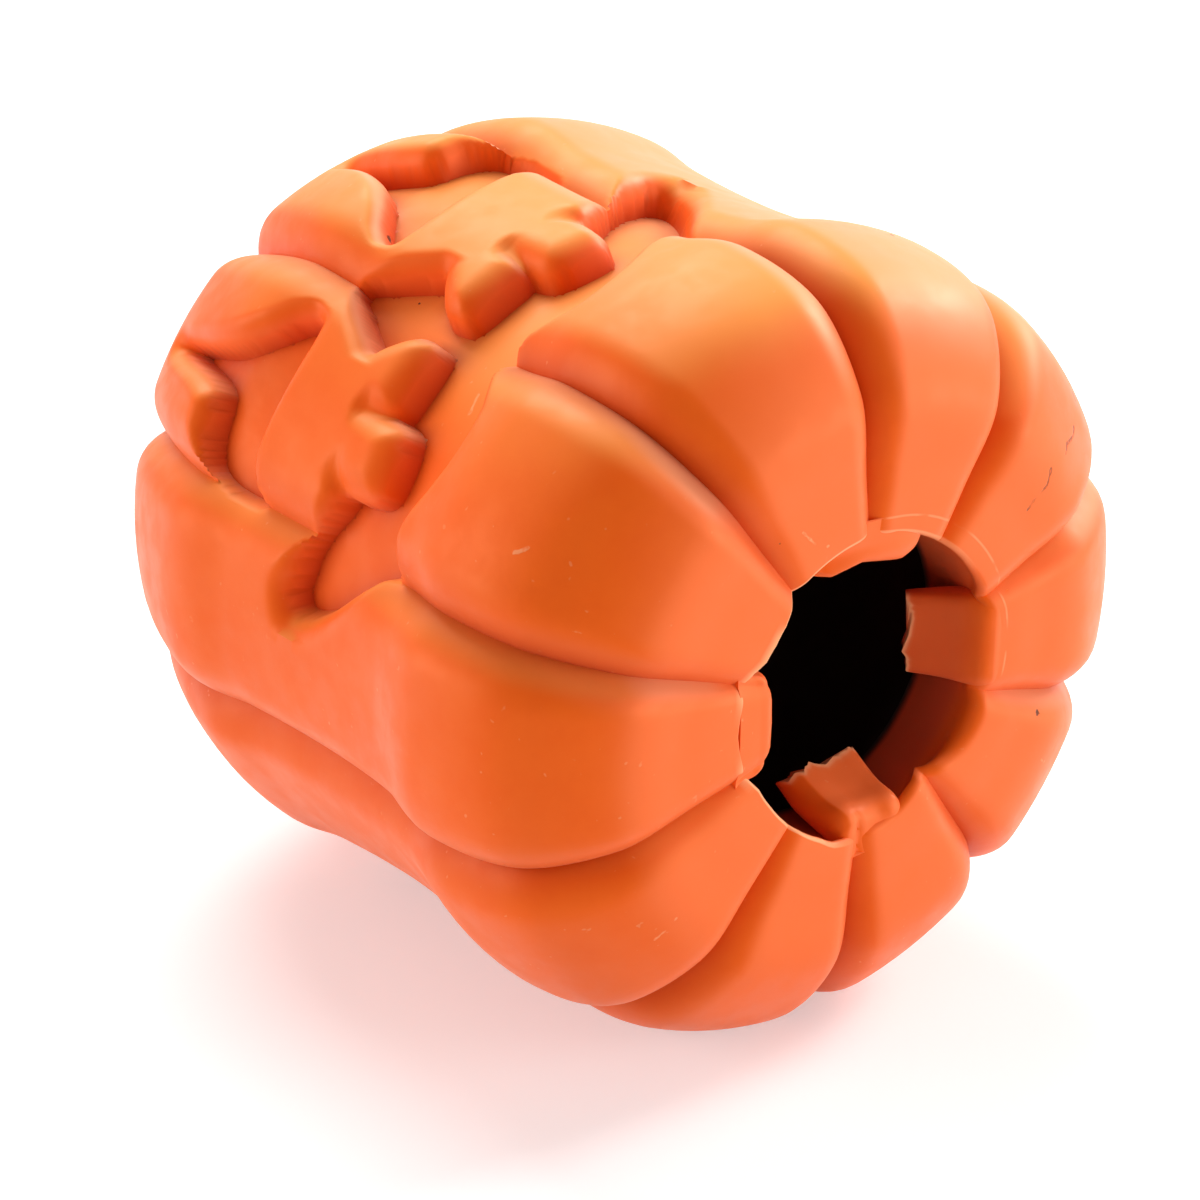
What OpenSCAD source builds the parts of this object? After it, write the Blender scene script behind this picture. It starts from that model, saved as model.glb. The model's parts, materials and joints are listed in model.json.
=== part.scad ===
// Pumpkin chew toy in one moulding of rubber, lying on two of its ribs.
// Its axis runs along Y, with the mouth at the front (-Y) and the stem end at the back (+Y).
// Z is up, and the toy rests on z = 0. Angles go round the axis from +X towards +Z.

/* [Body] */
// Radius of the mouth's bore
mouth_r = 18.4; // [16:0.1:21]
// Radius over the ribs at both bulges
bulge_r = 45.1; // [42:0.1:50]
// Radius over the ribs at the waist
waist_r = 42.9; // [41:0.1:45]
// Distance from the rim of the mouth to the stem end
body_len = 92; // [88:0.5:104]
// How far the ribs swell in front of the rim
rim_swell = 2.2; // [1:0.1:3.5]
// Distance of the front bulge behind the rim
front_bulge_y = 16.6; // [13:0.1:20]
// Distance of the waist behind the rim
waist_y = 35; // [31:0.1:40]
// Distance of the rear bulge behind the rim
rear_bulge_y = 64.4; // [58:0.1:70]
// Depth of the dip at the stem end
stem_dip = 3.5; // [2:0.1:5]
// Radius of the flat at the bottom of the dip
dip_flat_r = 6; // [5:0.1:8]

/* [Ribs] */
// Number of ribs round the body
rib_count = 10; // [8:1:12]
// Depth of a groove between two ribs
groove_depth = 3.2; // [1.5:0.1:4]
// Angle that a rib's rounded shoulder takes on each side of a groove
shoulder_angle = 8; // [5:0.5:12]

/* [Hollow] */
// Thickness of the side wall under a bulge
wall = 11.6; // [10:0.1:14]
// Thickness of the wall at the stem end
end_wall = 9; // [8:0.1:12]
// Length of the mouth's bore
neck_len = 9.5; // [9:0.1:14]
// Rounding of the hollow behind the mouth
front_round = 14; // [8:0.5:15]
// Rounding of the hollow at the stem end
rear_round = 18; // [10:0.5:24]
// Radius of the air hole at the stem end
vent_r = 4; // [2.5:0.1:5]

/* [Retaining tabs] */
// Width of a tab
tab_w = 11.4; // [8:0.1:13]
// Distance from the bore's wall in to a tab's bend line
bend_inset = 1.8; // [1.6:0.1:2.4]
// Distance of the bend line behind the rim
bend_y = 1.2; // [1.1:0.1:2.5]
// Radius of a tab's round root
root_r = 2; // [1.6:0.1:2.3]
// How far a tab's tip stands in from the bore's wall
tip_reach = 6.8; // [5.5:0.1:8]
// Distance of the tip's inner edge behind the rim
tip_y = 6; // [5:0.1:9]
// Thickness of a tab at its tip
tip_t = 2.4; // [1.8:0.1:3]
// Clearance between a tab's root and its seat
root_gap = 0.2; // [0.15:0.05:0.4]
// Clearance between a tab's back and the bore's wall
back_gap = 1.5; // [1.2:0.1:2.4]

/* [Face] */
// Depth of the face's recesses below the ribs
face_depth = 4.6; // [3:0.1:5.5]
// Width of the mouth of the face, from corner to corner
face_w = 61.8; // [50:0.2:66]
// Distance of the lower lip behind the rim
face_y = 24.7; // [23:0.1:28]
// Height of the face from the lower lip to the tips of the eyes
face_h = 53.5; // [48:0.5:56]
// Rounding along the top of a recess's wall
wall_round = 1.6; // [0.8:0.1:2]
// Rounding along the top of a tooth
tooth_round = 2; // [1:0.1:2.2]

/* [Hidden] */
$fn = 96;

pitch = 360 / rib_count;
top_groove = 90;
face_angle = top_groove + pitch;
hollow_r = bulge_r - wall;
hollow_end_y = body_len - end_wall;
bend_r = mouth_r - bend_inset;
tip_r = mouth_r - tip_reach;
seat_r = root_r + root_gap;
// Overrun of every cut past the face that it opens
over = 3;
// Height of the face's cutters, well past the body
sky = 2 * bulge_r;

// Steps of the body's mesh between two points of its side view, and of the outlines of the face
row_steps = 3;
outline_steps = 3;
arc_steps = 8;
// Part of such a step over which the side view's direction is taken
slope_share = 0.05;
// Points of the side view between which the recesses' floor runs, and its steps
floor_from = 3;
floor_to = 13;
floor_step = 0.5;
// Roundness of a rib's shoulder, where 1 is a straight bevel
shoulder_power = 2.2;

// Places of a rib's lengthwise lines, from one groove to the next
column_share = [0, 0.06, 0.13, 0.22, 0.38, 0.62, 0.78, 0.87, 0.94];

// Side view of a rib's crest. Each pair is the place along the axis, and the way out.
// The rim: shares of the swell, and of the way from the mouth to the bulge. It runs on into the
// bore, which trims it.
rim_share = [[-0.35, -0.2], [-0.85, 0.03], [-1, 0.22], [-0.72, 0.56]];
// The front shoulder: shares of the bulge's distance, and of the same way out
front_share = [[0.32, 0.895], [1, 1]];
// Front bulge to waist, and waist to rear bulge
waist_share = [[0.5, 0.77], [1, 1]];
rear_share = [[0.31, 0.1], [0.63, 0.45], [1, 1]];
// Rear bulge to the stem end: shares of the length left, and of the bulge's radius
end_share = [[0.565, 0.88], [0.835, 0.694], [0.967, 0.47], [1, 0.3]];
end_r_share = end_share[len(end_share) - 1][1];
// Down into the dip: shares of its depth, and of the way in from the last radius to the flat
dip_share = [[0.6, 0.65], [1, 1]];
// Depth of the grooves at each point of the side view
depth_share = [0.1, 0.15, 0.45, 0.75, 0.95, 1, 0.9, 0.78, 0.78, 0.85, 0.95, 0.95, 0.8, 0.5, 0.35, 0.15, 0];

// Half of the smiling mouth and the nose: shares of half the width, and of the height
mouth_share = [
    [0, 0.062], [0.09, 0.055], [0.185, 0.022], [0.255, 0], [0.365, 0.002], [0.475, 0.03],
    [0.56, 0.058], [0.645, 0.071], [0.70, 0.058], [0.75, 0.043], [0.79, 0.095], [0.855, 0.157],
    [0.905, 0.202], [0.955, 0.254], [0.99, 0.308], [1, 0.35], [0.96, 0.365], [0.905, 0.353],
    [0.855, 0.344], [0.78, 0.318], [0.70, 0.285], [0.63, 0.262], [0.54, 0.285], [0.30, 0.305],
    [0.26, 0.32], [0.15, 0.41], [0.06, 0.497], [0, 0.546]
];
// The two teeth of a side: the strip under the nose, and the lobe beside it
strip_share = [
    [0.045, 0.27], [0.065, 0.24], [0.13, 0.232], [0.25, 0.232], [0.315, 0.24],
    [0.337, 0.275], [0.325, 0.318], [0.25, 0.33], [0.16, 0.323], [0.085, 0.318], [0.05, 0.297]
];
lobe_share = [
    [0.362, 0.205], [0.385, 0.174], [0.46, 0.163], [0.56, 0.163], [0.605, 0.177],
    [0.615, 0.205], [0.58, 0.255], [0.53, 0.305], [0.46, 0.335], [0.395, 0.322], [0.362, 0.26]
];
// An eye, open towards the groove beside it
eye_share = [
    [0.197, 0.553], [0.298, 0.645], [0.366, 0.714], [0.42, 0.811], [0.445, 0.905], [0.466, 0.975],
    [0.487, 0.905], [0.497, 0.82], [0.524, 0.742], [0.583, 0.714], [0.663, 0.707], [0.741, 0.673],
    [0.78, 0.60], [0.783, 0.508], [0.75, 0.522], [0.683, 0.546], [0.60, 0.553]
];

// Section of the cut that rounds a wall's upper edge: shares of the rounding, away from the wall
// and down from the ribs. It starts a little inside the recess, and ends above the ribs.
edge_share = [[-0.3, 1.35], [-0.03, 1.06], [0.2, 0.36], [1.1, -0.3], [-0.3, -0.6]];

function mix(a, b, share) = a + (b - a) * share;

crest = concat(
    [for (s = rim_share) [s[0] * rim_swell, mix(mouth_r, bulge_r, s[1])]],
    [for (s = front_share) [s[0] * front_bulge_y, mix(mouth_r, bulge_r, s[1])]],
    [for (s = waist_share) [mix(front_bulge_y, waist_y, s[0]), mix(bulge_r, waist_r, s[1])]],
    [for (s = rear_share) [mix(waist_y, rear_bulge_y, s[0]), mix(waist_r, bulge_r, s[1])]],
    [for (s = end_share) [mix(rear_bulge_y, body_len, s[0]), bulge_r * s[1]]],
    [for (s = dip_share) [body_len - stem_dip * s[0], mix(bulge_r * end_r_share, dip_flat_r, s[1])]]
);
last = len(crest) - 1;

// Smooth curve through a list of points, or of numbers
function curve(p0, p1, p2, p3, t) = 0.5 * (2 * p1 + (p2 - p0) * t
    + (2 * p0 - 5 * p1 + 4 * p2 - p3) * t * t + (3 * p1 - p0 - 3 * p2 + p3) * t * t * t);
function pick(list, i) = list[max(0, min(len(list) - 1, i))];
function along(list, s) = let (i = floor(s))
    curve(pick(list, i - 1), pick(list, i), pick(list, i + 1), pick(list, i + 2), s - i);
function turn(list, i) = list[(i + len(list)) % len(list)];
function closed_curve(list) = [for (i = [0:len(list) - 1], k = [0:outline_steps - 1])
    curve(turn(list, i - 1), turn(list, i), turn(list, i + 1), turn(list, i + 2), k / outline_steps)];

// Height of a rib over its groove, from 0 to 1, at a share of the way from groove to groove
function rise(share) = 1 - pow(1 - min(1, min(share, 1 - share) * pitch / shoulder_angle), shoulder_power);

// A point of the body: the side view's point, set in along its normal by the groove
function body_point(s, k, share) = let (
    here = along(crest, s),
    way = along(crest, min(last, s + slope_share)) - along(crest, max(0, s - slope_share)),
    sink = groove_depth * max(0, along(depth_share, s)) * (1 - rise(share)) / norm(way),
    place = [here[0] + way[1] * sink, here[1] - way[0] * sink],
    angle = top_groove + pitch * (k + share)
) [place[1] * cos(angle), place[0], place[1] * sin(angle)];

rows = last * row_steps;
columns = rib_count * len(column_share);
body_grid = [for (i = [0:rows], k = [0:rib_count - 1], share = column_share)
    body_point(i / row_steps, k, share)];
front_y = min([for (p = body_grid) p[1]]);
back_y = max([for (p = body_grid) p[1]]);
rest_z = -min([for (p = body_grid) p[2]]);
mid_y = (front_y + back_y) / 2;

function grid(i, j) = i * columns + j % columns;

// The ribbed body, closed across the mouth and the dip
module ribbed_body() {
    front = len(body_grid);
    polyhedron(
        points = concat(body_grid, [[0, crest[0][0], 0], [0, crest[last][0], 0]]),
        faces = concat(
            [for (j = [0:columns - 1]) [front, grid(0, j + 1), grid(0, j)]],
            [for (j = [0:columns - 1]) [front + 1, grid(rows, j), grid(rows, j + 1)]],
            [for (i = [0:rows - 1], j = [0:columns - 1]) [grid(i, j), grid(i + 1, j + 1), grid(i + 1, j)]],
            [for (i = [0:rows - 1], j = [0:columns - 1]) [grid(i, j), grid(i, j + 1), grid(i + 1, j + 1)]]
        )
    );
}

function arc(centre, radius, from, to) = [for (k = [0:arc_steps])
    let (a = mix(from, to, k / arc_steps)) centre + radius * [cos(a), sin(a)]];

// Turns a profile of radius and distance behind the rim about the body's axis
module about_axis() {
    rotate([-90, 0, 0]) rotate_extrude() children();
}

// Bore of the mouth and the hollow behind it
module hollow() {
    about_axis() polygon(concat(
        [[0, front_y - over], [mouth_r, front_y - over], [mouth_r, neck_len]],
        arc([hollow_r - front_round, neck_len + front_round], front_round, -90, 0),
        arc([hollow_r - rear_round, hollow_end_y - rear_round], rear_round, 0, 90),
        [[0, hollow_end_y]]
    ));
    rotate([-90, 0, 0]) cylinder(r = vent_r, h = body_len + over);
}

// Sets a piece drawn at the right of the mouth round to its own angle
module at_angle(angle) {
    rotate([0, -angle, 0]) children();
}

// Round seat in the bore's wall for the root of a tab
module seat() {
    translate([bend_r, bend_y, 0]) cylinder(r = seat_r, h = tab_w + 2 * root_gap, center = true);
}

// Direction in which a line from a point touches the tab's round root
function touch(point, side) = let (way = point - [bend_r, bend_y])
    atan2(way[1], way[0]) + side * acos(root_r / norm(way));

// One tab, drawn at the right of the mouth: a round root and a tongue that leans in towards its tip
module tab(angle) {
    tip_in = [tip_r, tip_y];
    in_angle = touch(tip_in, 1);
    tip_out = tip_in - tip_t * [cos(in_angle), sin(in_angle)];
    out_angle = touch(tip_out, -1);
    bend = [bend_r, bend_y];
    placed() at_angle(angle) {
        intersection() {
            linear_extrude(height = tab_w, center = true) polygon([
                bend + root_r * [cos(in_angle), sin(in_angle)],
                tip_in,
                tip_out,
                bend + root_r * [cos(out_angle), sin(out_angle)],
                bend
            ]);
            rotate([-90, 0, 0]) cylinder(r = mouth_r - back_gap, h = body_len);
        }
        translate([bend_r, bend_y, 0]) cylinder(r = root_r, h = tab_w, center = true);
    }
}

// Solid that the floor of the face's recesses lies on, one recess depth below the ribs
module face_floor() {
    about_axis() polygon(concat(
        [[0, front_y]],
        [for (s = [floor_from:floor_step:floor_to]) let (p = along(crest, s)) [p[1] - face_depth, p[0]]],
        [[0, body_len]]
    ));
}

function face_points(list, side) = [for (s = list) [side * s[0] * face_w / 2, face_y + s[1] * face_h]];

// Draws an outline of the face flat, and cuts it straight towards the body's axis
module face_prism(points) {
    linear_extrude(height = sky) polygon(points);
}

// Radius of the ribs' crests at each place along the face
crest_table = [for (s = [floor_from:floor_step:floor_to]) let (p = along(crest, s)) [p[0], p[1]]];
function crest_height(p) = sqrt(pow(lookup(p[1], crest_table), 2) - p[0] * p[0]);

// Twice the area inside an outline, above zero where it runs anticlockwise
function twice_area(list) = let (n = len(list)) [for (i = 0, sum = 0; i <= n;
    sum = sum + list[i % n][0] * list[(i + 1) % n][1] - list[i % n][1] * list[(i + 1) % n][0],
    i = i + 1) sum][n];
function anticlockwise(list) = twice_area(list) > 0 ? list : [for (i = [len(list) - 1:-1:0]) list[i]];

// Rounds the upper edge of a wall: a closed tube along the outline, where the wall meets the ribs.
// The side is 1 where the ribs lie outside the outline, and -1 round a tooth.
module edge_cut(outline, side, rounding) {
    list = anticlockwise(outline);
    n = len(list);
    m = len(edge_share);
    points = [for (i = [0:n - 1], e = edge_share) let (
        way = turn(list, i + 1) - turn(list, i - 1),
        out = side * [way[1], -way[0]] / norm(way),
        p = list[i] + out * e[0] * rounding
    ) [p[0], p[1], crest_height(p) - e[1] * rounding]];
    ring = [for (i = [0:n - 1], k = [0:m - 1]) let (
        here = i * m,
        next = ((i + 1) % n) * m,
        up = (k + 1) % m
    ) each [[here + k, here + up, next + up], [here + k, next + up, next + k]]];
    polyhedron(points = points, faces = side > 0 ? ring : [for (f = ring) [f[2], f[1], f[0]]]);
}

// Mouth, nose and eyes, with the teeth left standing
module face_cut() {
    half = face_points(mouth_share, 1);
    other = face_points(mouth_share, -1);
    mouth = closed_curve(concat(half, [for (i = [len(other) - 2:-1:1]) other[i]]));
    rotate([0, top_groove - face_angle, 0]) {
        edge_cut(mouth, 1, wall_round);
        for (side = [-1, 1]) {
            edge_cut(closed_curve(face_points(eye_share, side)), 1, wall_round);
            edge_cut(closed_curve(face_points(strip_share, side)), -1, tooth_round);
            edge_cut(closed_curve(face_points(lobe_share, side)), -1, tooth_round);
        }
    }
    difference() {
        rotate([0, top_groove - face_angle, 0]) {
            difference() {
                face_prism(mouth);
                for (side = [-1, 1]) {
                    face_prism(closed_curve(face_points(strip_share, side)));
                    face_prism(closed_curve(face_points(lobe_share, side)));
                }
            }
            for (side = [-1, 1]) {
                face_prism(closed_curve(face_points(eye_share, side)));
            }
        }
        face_floor();
    }
}

// Moves the toy from its own axis to its place on the ground
module placed() {
    translate([0, -mid_y, rest_z]) children();
}

module shell() {
    color("darkorange") placed() difference() {
        ribbed_body();
        hollow();
        for (angle = [0:90:270]) at_angle(angle) seat();
        face_cut();
    }
}

module tab_right() {
    color("orangered") tab(0);
}

module tab_top() {
    color("orangered") tab(90);
}

module tab_left() {
    color("orangered") tab(180);
}

module tab_bottom() {
    color("orangered") tab(270);
}

shell();
tab_right();
tab_top();
tab_left();
tab_bottom();
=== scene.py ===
"""Pumpkin chew toy of orange rubber, lying on its side: its looks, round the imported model."""

import json
import math

import bpy
import numpy as np
from mathutils import Matrix, Vector


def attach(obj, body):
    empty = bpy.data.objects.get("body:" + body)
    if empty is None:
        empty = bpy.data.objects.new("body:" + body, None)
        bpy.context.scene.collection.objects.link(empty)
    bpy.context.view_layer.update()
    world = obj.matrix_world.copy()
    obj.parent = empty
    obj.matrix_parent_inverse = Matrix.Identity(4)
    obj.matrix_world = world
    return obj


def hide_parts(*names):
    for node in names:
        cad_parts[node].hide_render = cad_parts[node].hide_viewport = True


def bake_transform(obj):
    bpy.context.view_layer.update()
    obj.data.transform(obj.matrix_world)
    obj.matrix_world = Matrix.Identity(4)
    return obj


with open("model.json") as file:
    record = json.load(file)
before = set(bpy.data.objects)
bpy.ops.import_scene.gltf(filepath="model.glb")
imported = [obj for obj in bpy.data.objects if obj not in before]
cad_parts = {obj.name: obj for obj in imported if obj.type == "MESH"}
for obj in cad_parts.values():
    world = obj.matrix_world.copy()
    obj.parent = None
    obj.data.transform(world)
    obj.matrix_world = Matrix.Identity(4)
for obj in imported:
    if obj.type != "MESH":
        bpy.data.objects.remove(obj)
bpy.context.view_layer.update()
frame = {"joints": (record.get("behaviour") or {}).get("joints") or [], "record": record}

bl_info = {
    "name": "Pumpkin Chew Toy",
    "version": (1, 0, 0),
    "blender": (4, 5, 0),
    "location": "View3D > Sidebar > Chew Toy",
    "description": "Moulds a ribbed rubber pumpkin with a carved face and four treat tabs",
    "category": "Add Mesh",
}

MM = 0.001
BENDS = {joint["child"]: joint["pos_m"] for joint in frame["joints"]}
AIR_HOLE = frame["record"]["mounts"][0]
AIR_HOLE_R = AIR_HOLE["dims"]["r_mm"]
AXIS_Z = AIR_HOLE["pos_m"][2] / MM
MERGE = 1e-6  # metres between points that are one
SHELL_CREASE = 52  # degrees between faces from which an edge stays sharp
TAB_CREASE = 50
FRAME_PX = 1200
SENSOR_MM = 36


# Edge of the mouth: angle in degrees from +X towards +Z, radius of the edge, and its rounding
RIM_EDGE = [
    (0, 18.0, 1.6), (20, 17.6, 1.0), (37, 17.3, 0.7), (60, 17.2, 0.6), (90, 17.4, 0.6),
    (119, 17.3, 0.4),
    (127, 17.0, 0.35), (131, 16.3, 0.35), (137, 15.7, 0.35), (145, 15.55, 0.35), (152, 15.8, 0.35),
    (157, 16.8, 0.35), (165, 17.2, 0.4), (180, 17.4, 0.5), (193, 17.0, 0.4), (198, 16.7, 0.35),
    (206, 16.05, 0.35), (217, 15.95, 0.35), (228, 16.1, 0.35), (238, 16.3, 0.4), (250, 16.7, 0.5),
    (257, 17.3, 0.6), (270, 17.2, 0.8), (288, 16.7, 1.0), (297, 15.9, 1.1), (303, 15.8, 1.2),
    (312, 16.7, 1.4), (320, 17.7, 1.7), (328, 18.1, 1.9), (335, 18.1, 1.8), (345, 17.8, 1.5),
]
TOP_GROOVE = 90
FACE_ANGLE = 126

# Side view of a rib's crest, as shares of the sizes beside it
RIM_SHARE = [(-0.82, -0.2), (-0.93, 0.03), (-1, 0.22), (-0.72, 0.56)]
FRONT_SHARE = [(0.32, 0.895), (1, 1)]
WAIST_SHARE = [(0.5, 0.77), (1, 1)]
REAR_SHARE = [(0.31, 0.1), (0.63, 0.45), (1, 1)]
END_SHARE = [(0.565, 0.88), (0.835, 0.694), (0.967, 0.47), (1, 0.3)]
DIP_SHARE = [(0.6, 0.65), (1, 1)]
DEPTH_SHARE = [0.15, 0.26, 0.55, 0.85, 1, 1, 0.9, 0.78, 0.78, 0.85, 0.95, 0.95, 0.8, 0.5, 0.35,
               0.15, 0]

# Outlines of one half of the face: shares of half the mouth's width, and of the face's height
MOUTH_SHARE = [
    (0, 0.062), (0.09, 0.055), (0.185, 0.022), (0.255, 0), (0.365, 0.002), (0.475, 0.03),
    (0.56, 0.058), (0.645, 0.071), (0.70, 0.058), (0.75, 0.043), (0.79, 0.095), (0.855, 0.157),
    (0.905, 0.202), (0.955, 0.254), (0.99, 0.308), (1, 0.35), (0.96, 0.365), (0.905, 0.353),
    (0.855, 0.344), (0.78, 0.318), (0.70, 0.285), (0.63, 0.272), (0.54, 0.295), (0.40, 0.306),
    (0.30, 0.308), (0.23, 0.345), (0.15, 0.41), (0.06, 0.497), (0, 0.546),
]
INNER_TOOTH_SHARE = [
    (0.04, 0.272), (0.055, 0.242), (0.13, 0.228), (0.25, 0.226), (0.335, 0.232),
    (0.378, 0.27), (0.41, 0.37), (0.28, 0.41), (0.17, 0.392), (0.085, 0.345), (0.042, 0.305),
]
OUTER_TOOTH_SHARE = [
    (0.345, 0.205), (0.378, 0.174), (0.46, 0.158), (0.56, 0.157), (0.615, 0.175),
    (0.638, 0.21), (0.645, 0.272), (0.585, 0.335), (0.48, 0.385), (0.325, 0.38), (0.335, 0.27),
]
EYE_SHARE = [
    (0.197, 0.553), (0.298, 0.645), (0.366, 0.714), (0.42, 0.811), (0.445, 0.905), (0.466, 0.985),
    (0.483, 0.905), (0.493, 0.82), (0.524, 0.742), (0.583, 0.714), (0.663, 0.707), (0.741, 0.673),
    (0.78, 0.60), (0.783, 0.508), (0.75, 0.522), (0.683, 0.546), (0.60, 0.553),
]

# Each tab: its angle round the mouth, how far it sits to the side of it, its width at the root and
# at the tip, and the side view of its front and back from the root to the torn tip as radius and
# distance behind the rim, where None lies on the front of the ribs. The torn edge is an offset
# along the radius at places across the tab, a dent is place, radius, width, height and depth,
# soiled is how dark its front, where it turns in, and its back are painted as shade, and
# soft is how much rounder its section is than the right tab's.
TABS = {
    "tab_right": {
        "angle": 0, "side": (0, 0, 0), "widths": (11.6, 11.2, 9.4),
        "front": [(20.4, None), (19.2, None), (18.1, None), (17.0, -1.3), (15.8, 0.85),
                  (14.3, 3.1), (12.3, 5.6)],
        "back": [(20.2, -1.3), (19.6, -0.6), (19.2, 0.6), (19.0, 2.0), (18.2, 3.9), (16.3, 5.6),
                 (13.7, 7.2)],
        "torn": [(-1, 0), (1, 0)], "dents": [], "soiled": (0.3, 0.9), "soft": 1,
    },
    "tab_top": {
        "angle": 90, "side": (0.4, 0.4, 0.4), "widths": (15.0, 16.6, 17.2),
        "front": [(19.3, None), (18.0, None), (16.5, None), (15.0, None), (13.8, -1.2),
                  (13.3, 0.6), (13.1, 4.4)],
        "back": [(19.0, -1.3), (18.9, 0.0), (18.6, 1.6), (18.0, 3.0), (17.0, 4.2), (16.0, 5.2),
                 (14.8, 6.0)],
        "torn": [(-1, 1.5), (-0.92, 1.0), (-0.83, 0.3), (-0.6, -0.2), (-0.35, 0.2), (-0.1, 0.7),
                 (0.02, 0.7), (0.13, 0.1), (0.29, -0.3), (0.6, 0.4), (0.89, 1.2), (1, 1.6)],
        "dents": [(7.4, 15.0, 3.0, 2.4, 1.6), (4.4, 15.5, 2.2, 1.5, 1.2)],
        "soiled": (0, 0.9), "soft": 1,
    },
    "tab_left": {
        "angle": 180, "side": (0, 0, 0), "widths": (12.4, 12.2, 11.4),
        "front": [(17.3, None), (16.2, None), (14.7, None), (13.2, -1.8), (12.35, -0.8),
                  (12.2, 1.6), (12.3, 5.2)],
        "back": [(17.4, -1.3), (17.8, 0.2), (17.6, 1.8), (17.0, 3.2), (16.2, 4.4), (15.2, 5.5),
                 (13.9, 6.4)],
        "torn": [(-1, 1.3), (-0.88, 0.5), (-0.6, 0.1), (0, 0), (0.5, 0.1), (0.8, 0.5), (1, 1.5)],
        "dents": [], "soiled": (0, 0.9), "soft": 1,
    },
    "tab_bottom": {
        "angle": 270, "side": (2.8, 2.3, 1.2), "widths": (9.4, 9.8, 11.0),
        "front": [(19.8, None), (18.4, None), (17.0, None), (15.6, None), (14.5, -0.9),
                  (13.7, 1.9), (11.7, 5.6)],
        "back": [(19.6, -1.3), (19.3, -0.4), (19.1, 0.8), (18.9, 2.4), (18.0, 4.4), (16.6, 6.4),
                 (14.2, 8.4)],
        "torn": [(-1, 0.3), (-0.7, -0.3), (-0.4, -0.1), (0, 0.3), (0.35, 0.1), (0.7, -0.4),
                 (1, 0.3)],
        "dents": [(0.2, 15.6, 1.5, 1.6, 0.8), (-0.6, 18.6, 1.4, 1.8, 0.3)],
        "soiled": (0, 0.3), "soft": 1.7,
    },
}

# Marks on the skin: place across, behind the rim and above the axis, in millimetres
SPECKS = [  # with the radius
    (-18.4, 57.7, 37.0, 0.55), (16.8, 15.3, 41.6, 0.42), (25.8, -2.0, -10.5, 0.45),
    (-12.7, -1.9, 20.1, 0.16),
    (-20.9, 48.5, 32.7, 0.2), (-31.0, 60.0, -20.0, 0.35), (28.0, 48.0, 33.0, 0.3),
    (36.0, 70.0, -14.0, 0.4),
]
SCRATCHES = [  # from one end to the other, with the width
    (-37.7, 8.6, 22.2, -36.8, 7.5, 22.9, 0.16),
    (-27.4, -1.2, -20.5, -25.4, -2.1, -18.2, 0.12), (-9.9, -2.2, 20.7, -8.0, -2.1, 18.7, 0.12),
    (-8.0, -2.1, 18.7, -5.3, -2.0, 18.1, 0.1), (-31.7, 38.2, 24.8, -30.7, 36.0, 24.1, 0.12),
    (-27.2, 30.6, 27.2, -25.5, 31.3, 28.7, 0.2),
]
CRACKS = [  # fine dark lines, likewise
    (33.8, 3.9, 23.5, 34.1, 3.2, 22.2, 0.2), (31.2, 0.8, 21.1, 30.5, 0.2, 20.5, 0.22),
    (30.5, 0.2, 20.5, 28.7, -0.7, 20.3, 0.2), (28.7, -0.7, 20.3, 28.1, -1.2, 19.5, 0.18),
    (25.0, -2.2, 18.7, 24.4, -2.3, 17.1, 0.14), (24.4, -2.3, 17.1, 22.4, -2.3, 15.7, 0.12),
    (22.4, -2.3, 15.7, 21.2, -2.2, 14.2, 0.1),
]


def size_setting(name, about, default, low=0):
    """A size or level that a user may change"""
    return bpy.props.FloatProperty(name=name, description=about, default=default, min=low)


def share_setting(name, about, default):
    """A share from 0 to 1"""
    return bpy.props.FloatProperty(name=name, description=about, default=default, min=0, max=1)


def colour_setting(name, about, default):
    """A colour"""
    return bpy.props.FloatVectorProperty(
        name=name, description=about, default=default, subtype="COLOR", size=3, min=0, max=1)


def power_setting(name, about, default):
    """A lamp's power"""
    return bpy.props.FloatProperty(name=name, description=about, default=default, unit="POWER")


def angle_setting(name, about, degrees):
    """An angle, given here in degrees"""
    return bpy.props.FloatProperty(
        name=name, description=about, default=math.radians(degrees), subtype="ANGLE")


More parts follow.
